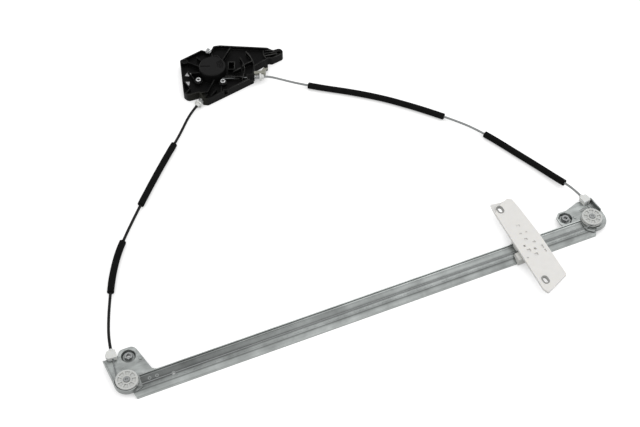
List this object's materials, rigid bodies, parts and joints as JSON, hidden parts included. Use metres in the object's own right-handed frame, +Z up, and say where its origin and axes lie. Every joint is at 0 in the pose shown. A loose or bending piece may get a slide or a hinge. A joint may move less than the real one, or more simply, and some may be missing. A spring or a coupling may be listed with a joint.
{
  "type": "window regulator",
  "caption": "Cable window regulator for a car door: straight guide rail with a sliding glass carrier, end pulleys and a remote drum housing, without its drive unit.",
  "frame": {"origin": "middle of the regulator's outline, on the plane on which the rail and the housing lie", "axes": "+X along the rail towards the carrier's end, +Y from the rail towards the drum housing, +Z up"},
  "size_m": [0.7428, 0.6363, 0.027],
  "materials": {
    "zinc_steel": "satin zinc plate with a light passivation",
    "dark_steel": "oiled dark steel",
    "bright_steel": "bright zinc",
    "wire_steel": "stranded wire, lightly greased",
    "natural_plastic": "natural acetal, slightly translucent",
    "carrier_plastic": "moulded, warm off-white",
    "shoe_plastic": "moulded, off-white",
    "black_plastic": "moulded, black",
    "clip_plastic": "moulded, olive grey",
    "grommet_rubber": "moulded rubber",
    "black_conduit": "smooth extruded jacket, black",
    "grey_conduit": "smooth extruded jacket, grey",
    "foam": "closed-cell foam tube"
  },
  "bodies": {
    "base": {"guide_rail": "zinc_steel", "left_bracket": "zinc_steel", "right_bracket": "zinc_steel", "bracket_rivets": "zinc_steel", "left_weld_nut": "dark_steel", "right_weld_nut": "dark_steel", "left_pulley_pin": "bright_steel", "right_pulley_pin": "bright_steel", "left_rail_fitting": "natural_plastic", "right_rail_fitting": "natural_plastic", "left_wire": "wire_steel", "right_wire": "wire_steel", "left_drum_lead": "wire_steel", "right_drum_lead": "wire_steel", "left_conduit": "black_conduit", "right_conduit": "grey_conduit", "left_upper_sleeve": "foam", "left_lower_sleeve": "foam", "right_upper_sleeve": "foam", "right_lower_sleeve": "foam", "drum_housing": "black_plastic", "drum_cover": "black_plastic", "drive_bushes": "bright_steel", "edge_screw": "bright_steel", "side_clip": "clip_plastic", "clip_grommet": "grommet_rubber", "left_collar": "natural_plastic", "right_collar": "natural_plastic", "left_tension_spring": "bright_steel", "right_tension_spring": "bright_steel"},
    "carrier": {"carrier_plate": "carrier_plastic", "guide_shoe": "shoe_plastic", "slot_bushes": "bright_steel", "left_nipple": "bright_steel", "right_nipple": "bright_steel"},
    "left_pulley": {"left_pulley": "natural_plastic"},
    "right_pulley": {"right_pulley": "natural_plastic"},
    "drum": {"cable_drum": "natural_plastic", "drum_wire": "wire_steel"}
  },
  "joints": [
    {"name": "carrier_slide", "type": "slide", "parent": "base", "child": "carrier", "axis": [1, 0, 0], "range_m": [-0.52, 0.045]},
    {"name": "left_pulley_spin", "type": "hinge", "parent": "base", "child": "left_pulley", "pos_m": [-0.35, -0.2244, 0.0122], "axis": [0, 0, 1], "range_deg": [-2493, 225]},
    {"name": "right_pulley_spin", "type": "hinge", "parent": "base", "child": "right_pulley", "pos_m": [0.35, -0.2244, 0.0122], "axis": [0, 0, 1], "range_deg": [-2493, 225]},
    {"name": "drum_spin", "type": "hinge", "parent": "base", "child": "drum", "pos_m": [-0.06, 0.265, 0.01], "axis": [0, 0, 1], "range_deg": [-177, 1933]}
  ],
  "couplings": [
    {"joint": "left_pulley_spin", "follows": "carrier_slide", "rad_per_m": 83.333},
    {"joint": "right_pulley_spin", "follows": "carrier_slide", "rad_per_m": 83.333},
    {"joint": "drum_spin", "follows": "carrier_slide", "rad_per_m": -64.516}
  ]
}
